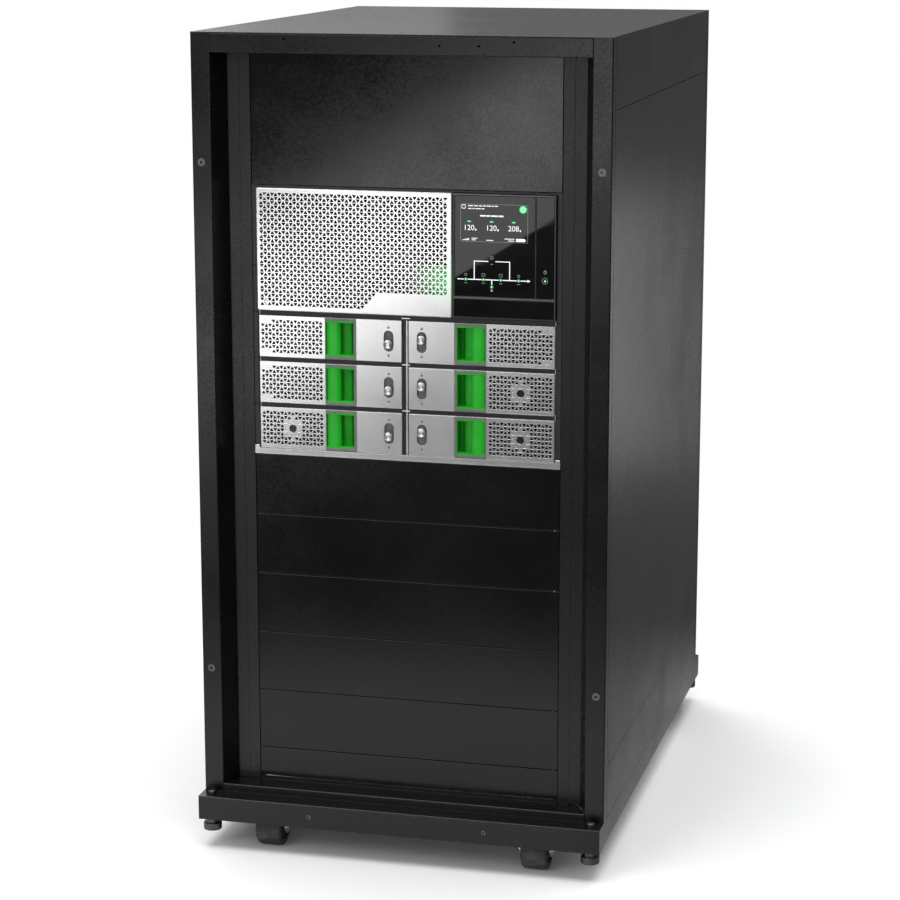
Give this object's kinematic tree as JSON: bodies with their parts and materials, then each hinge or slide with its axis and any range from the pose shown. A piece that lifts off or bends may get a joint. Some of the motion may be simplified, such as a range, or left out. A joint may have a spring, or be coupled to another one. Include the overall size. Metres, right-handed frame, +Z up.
{
  "type": "rackmount uninterruptible power supply in a rack cabinet",
  "caption": "Modular rackmount UPS with removable power and battery modules, grille bezel and display, in an open-front 24U rack cabinet on casters.",
  "frame": {"origin": "centre of the cabinet footprint on the floor, under the casters", "axes": "+Z up, -Y to the front where the display and modules face, +X to the right seen from the front"},
  "size_m": [0.6, 0.9, 1.19],
  "materials": {
    "cabinet_black": "satin powder coat",
    "rail_black": "matt powder coat",
    "panel_black": "satin powder coat",
    "dark_zinc": "dark zinc plate",
    "zinc": "bright zinc plate",
    "galvanised": "galvanised sheet",
    "ups_dark": "dark zinc primer",
    "ups_silver": "silver satin paint",
    "fan_black": "moulded",
    "display_black": "fine grain",
    "display_glass": "black gloss window",
    "button_black": "gloss",
    "ups_rear": "matt black paint",
    "foot_zinc": "zinc plate",
    "wheel_black": "dark tread",
    "handle_green": "satin moulded plastic",
    "latch_steel": "nickel plate"
  },
  "bodies": {
    "cabinet": {"base_frame": "cabinet_black", "corner_posts": "cabinet_black", "top_frame": "cabinet_black", "roof_panel": "cabinet_black", "right_side_panel": "cabinet_black", "left_side_panel": "cabinet_black", "front_rails": "rail_black", "rear_rails": "rail_black", "rail_braces": "rail_black", "ups_support_angles": "rail_black", "front_baffles": "rail_black", "filler_panel": "panel_black", "blank_panels": "panel_black", "cabinet_screws": "dark_zinc", "rear_caster_forks": "zinc", "ups_case": "galvanised", "ups_shelf_frame": "ups_dark", "ups_front_frame": "ups_silver", "ups_bypass_unit": "galvanised", "ups_fan_frame": "fan_black", "ups_display_frame": "display_black", "ups_display_glass": "display_glass", "ups_rear_panel": "ups_rear"},
    "fan_rotor": {"ups_fan_rotor": "fan_black"},
    "grille_bezel": {"ups_grille_bezel": "ups_silver"},
    "power_button": {"ups_power_button": "button_black"},
    "caster_left": {"caster_fork_left": "zinc"},
    "caster_right": {"caster_fork_right": "zinc"},
    "wheel_front_left": {"wheel_front_left": "wheel_black"},
    "foot_front_left": {"foot_front_left": "foot_zinc"},
    "wheel_front_right": {"wheel_front_right": "wheel_black"},
    "foot_front_right": {"foot_front_right": "foot_zinc"},
    "wheel_rear_left": {"wheel_rear_left": "wheel_black"},
    "foot_rear_left": {"foot_rear_left": "foot_zinc"},
    "wheel_rear_right": {"wheel_rear_right": "wheel_black"},
    "foot_rear_right": {"foot_rear_right": "foot_zinc"},
    "module_1": {"module_1_case": "galvanised", "module_1_face": "ups_silver", "module_1_handle": "handle_green"},
    "module_1_latch": {"module_1_latch": "latch_steel"},
    "module_2": {"module_2_case": "galvanised", "module_2_face": "ups_silver", "module_2_handle": "handle_green"},
    "module_2_latch": {"module_2_latch": "latch_steel"},
    "module_3": {"module_3_case": "galvanised", "module_3_face": "ups_silver", "module_3_handle": "handle_green"},
    "module_3_latch": {"module_3_latch": "latch_steel"},
    "module_4": {"module_4_case": "galvanised", "module_4_face": "ups_silver", "module_4_handle": "handle_green"},
    "module_4_latch": {"module_4_latch": "latch_steel"},
    "module_5": {"module_5_case": "galvanised", "module_5_face": "ups_silver", "module_5_handle": "handle_green"},
    "module_5_latch": {"module_5_latch": "latch_steel"},
    "module_6": {"module_6_case": "galvanised", "module_6_face": "ups_silver", "module_6_handle": "handle_green"},
    "module_6_latch": {"module_6_latch": "latch_steel"}
  },
  "joints": [
    {"name": "fan_spin", "type": "hinge", "parent": "cabinet", "child": "fan_rotor", "pos_m": [-0.074, -0.3643, 0.88397], "axis": [0, 1, 0], "continuous": true},
    {"name": "bezel_pull", "type": "slide", "parent": "cabinet", "child": "grille_bezel", "axis": [0, -1, 0], "range_m": [0, 0.06]},
    {"name": "power_press", "type": "slide", "parent": "cabinet", "child": "power_button", "axis": [0, 1, 0], "range_m": [0, 0.0015], "stiffness_N_per_m": 600, "springref_m": -0.001},
    {"name": "caster_left_swivel", "type": "hinge", "parent": "cabinet", "child": "caster_left", "pos_m": [-0.2, -0.384, 0.07], "axis": [0, 0, 1], "continuous": true},
    {"name": "caster_right_swivel", "type": "hinge", "parent": "cabinet", "child": "caster_right", "pos_m": [0.2, -0.384, 0.07], "axis": [0, 0, 1], "continuous": true},
    {"name": "wheel_front_left_spin", "type": "hinge", "parent": "caster_left", "child": "wheel_front_left", "pos_m": [-0.2, -0.404, 0.03], "axis": [1, 0, 0], "continuous": true},
    {"name": "foot_front_left_screw", "type": "slide", "parent": "cabinet", "child": "foot_front_left", "axis": [0, 0, -1], "range_m": [0, 0.026]},
    {"name": "wheel_front_right_spin", "type": "hinge", "parent": "caster_right", "child": "wheel_front_right", "pos_m": [0.2, -0.404, 0.03], "axis": [1, 0, 0], "continuous": true},
    {"name": "foot_front_right_screw", "type": "slide", "parent": "cabinet", "child": "foot_front_right", "axis": [0, 0, -1], "range_m": [0, 0.026]},
    {"name": "wheel_rear_left_spin", "type": "hinge", "parent": "cabinet", "child": "wheel_rear_left", "pos_m": [-0.2, 0.404, 0.03], "axis": [1, 0, 0], "continuous": true},
    {"name": "foot_rear_left_screw", "type": "slide", "parent": "cabinet", "child": "foot_rear_left", "axis": [0, 0, -1], "range_m": [0, 0.026]},
    {"name": "wheel_rear_right_spin", "type": "hinge", "parent": "cabinet", "child": "wheel_rear_right", "pos_m": [0.2, 0.404, 0.03], "axis": [1, 0, 0], "continuous": true},
    {"name": "foot_rear_right_screw", "type": "slide", "parent": "cabinet", "child": "foot_rear_right", "axis": [0, 0, -1], "range_m": [0, 0.026]},
    {"name": "module_1_slide", "type": "slide", "parent": "cabinet", "child": "module_1", "axis": [0, -1, 0], "range_m": [0, 0.61]},
    {"name": "module_1_latch_slide", "type": "slide", "parent": "module_1", "child": "module_1_latch", "axis": [0, 0, 1], "range_m": [0, 0.01]},
    {"name": "module_2_slide", "type": "slide", "parent": "cabinet", "child": "module_2", "axis": [0, -1, 0], "range_m": [0, 0.61]},
    {"name": "module_2_latch_slide", "type": "slide", "parent": "module_2", "child": "module_2_latch", "axis": [0, 0, -1], "range_m": [0, 0.01]},
    {"name": "module_3_slide", "type": "slide", "parent": "cabinet", "child": "module_3", "axis": [0, -1, 0], "range_m": [0, 0.61]},
    {"name": "module_3_latch_slide", "type": "slide", "parent": "module_3", "child": "module_3_latch", "axis": [0, 0, 1], "range_m": [0, 0.01]},
    {"name": "module_4_slide", "type": "slide", "parent": "cabinet", "child": "module_4", "axis": [0, -1, 0], "range_m": [0, 0.61]},
    {"name": "module_4_latch_slide", "type": "slide", "parent": "module_4", "child": "module_4_latch", "axis": [0, 0, -1], "range_m": [0, 0.01]},
    {"name": "module_5_slide", "type": "slide", "parent": "cabinet", "child": "module_5", "axis": [0, -1, 0], "range_m": [0, 0.61]},
    {"name": "module_5_latch_slide", "type": "slide", "parent": "module_5", "child": "module_5_latch", "axis": [0, 0, 1], "range_m": [0, 0.01]},
    {"name": "module_6_slide", "type": "slide", "parent": "cabinet", "child": "module_6", "axis": [0, -1, 0], "range_m": [0, 0.61]},
    {"name": "module_6_latch_slide", "type": "slide", "parent": "module_6", "child": "module_6_latch", "axis": [0, 0, -1], "range_m": [0, 0.01]}
  ]
}
